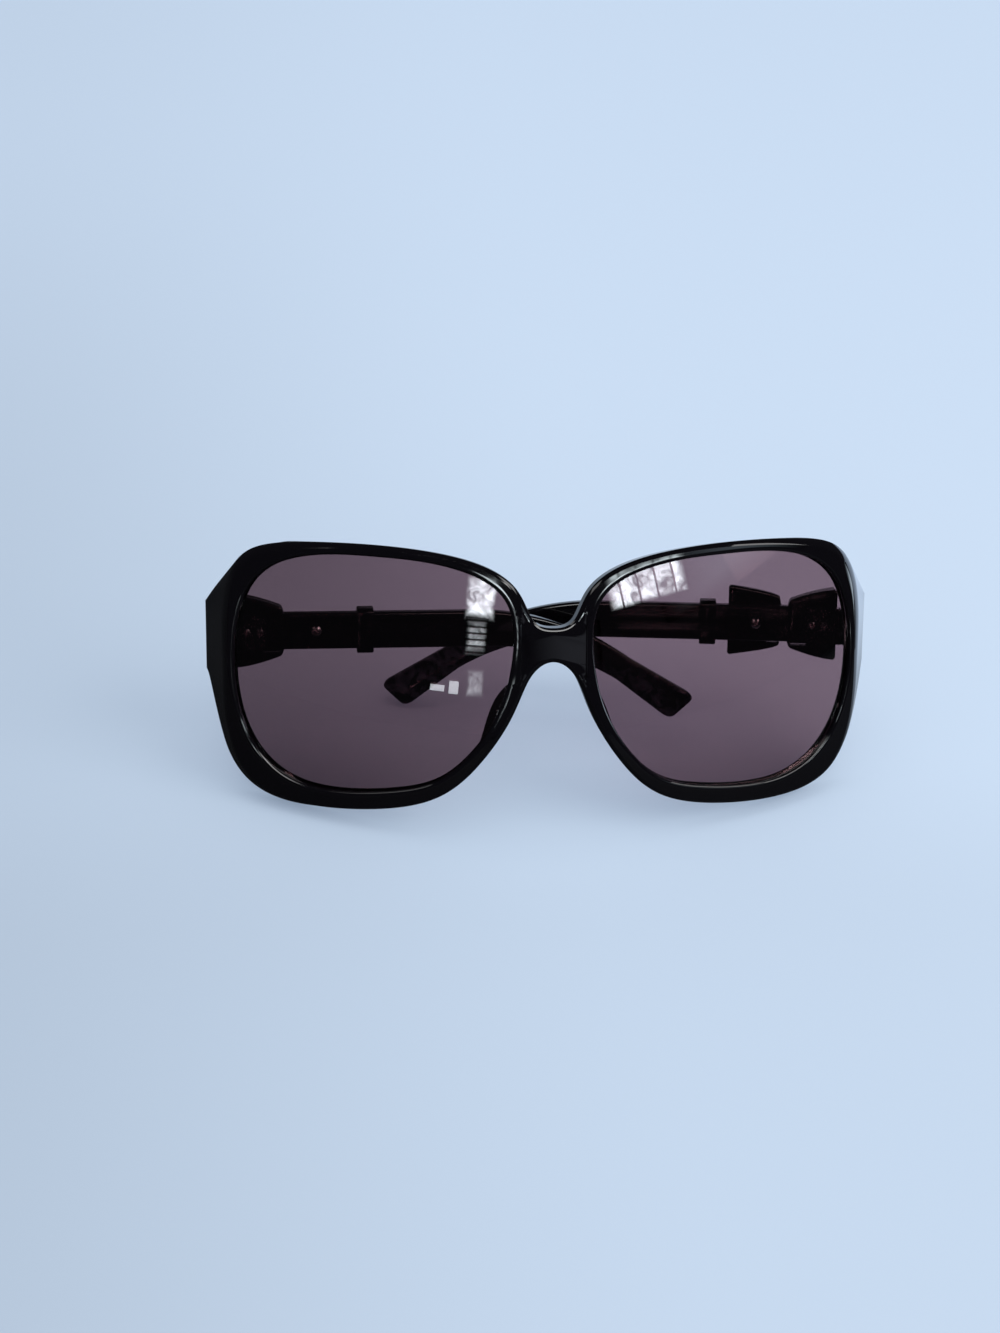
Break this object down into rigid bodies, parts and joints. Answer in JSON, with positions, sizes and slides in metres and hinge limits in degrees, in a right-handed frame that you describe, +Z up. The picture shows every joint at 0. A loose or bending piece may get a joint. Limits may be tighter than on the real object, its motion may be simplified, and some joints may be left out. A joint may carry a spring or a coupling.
{
  "type": "sunglasses",
  "caption": "Folded wraparound sunglasses with a glossy frame, tinted lenses and belt-like temples with a bow, which open on leaf hinges.",
  "frame": {"origin": "middle of the footprint, on the surface that the folded glasses stand on", "axes": "+X towards the wearer's left, +Y from the face of the glasses back towards the wearer, +Z up; the front leans back by 25.4 degrees about X"},
  "size_m": [0.1442, 0.0496, 0.0571],
  "materials": {
    "gloss_black": "polished",
    "tinted_lens": "polished, evenly tinted",
    "steel": "satin"
  },
  "bodies": {
    "front": {"front_frame": "gloss_black", "right_lens": "tinted_lens", "left_lens": "tinted_lens", "right_nose_pad": "gloss_black", "left_nose_pad": "gloss_black", "right_front_leaf": "steel", "left_front_leaf": "steel", "right_front_leaf_screws": "steel", "left_front_leaf_screws": "steel", "right_hinge_screw": "steel", "left_hinge_screw": "steel"},
    "right_temple": {"right_temple_leaf": "steel", "right_temple_leaf_screws": "steel", "right_temple_arm": "gloss_black", "right_temple_core": "steel", "right_keeper_loop": "gloss_black", "right_bow_stud": "steel"},
    "left_temple": {"left_temple_leaf": "steel", "left_temple_leaf_screws": "steel", "left_temple_arm": "gloss_black", "left_temple_core": "steel", "left_keeper_loop": "gloss_black", "left_bow_stud": "steel", "left_bow_rear_half": "gloss_black"}
  },
  "joints": [
    {"name": "left_temple_hinge", "type": "hinge", "parent": "front", "child": "left_temple", "pos_m": [0.0661, 0.01014, 0.02693], "axis": [0, -0.4295, -0.9031], "range_deg": [0, 84]},
    {"name": "right_temple_hinge", "type": "hinge", "parent": "front", "child": "right_temple", "pos_m": [-0.0661, 0.01014, 0.02693], "axis": [0, 0.4295, 0.9031], "range_deg": [0, 84]}
  ],
  "couplings": [
    {"joint": "right_temple_hinge", "follows": "left_temple_hinge", "ratio": 1}
  ]
}
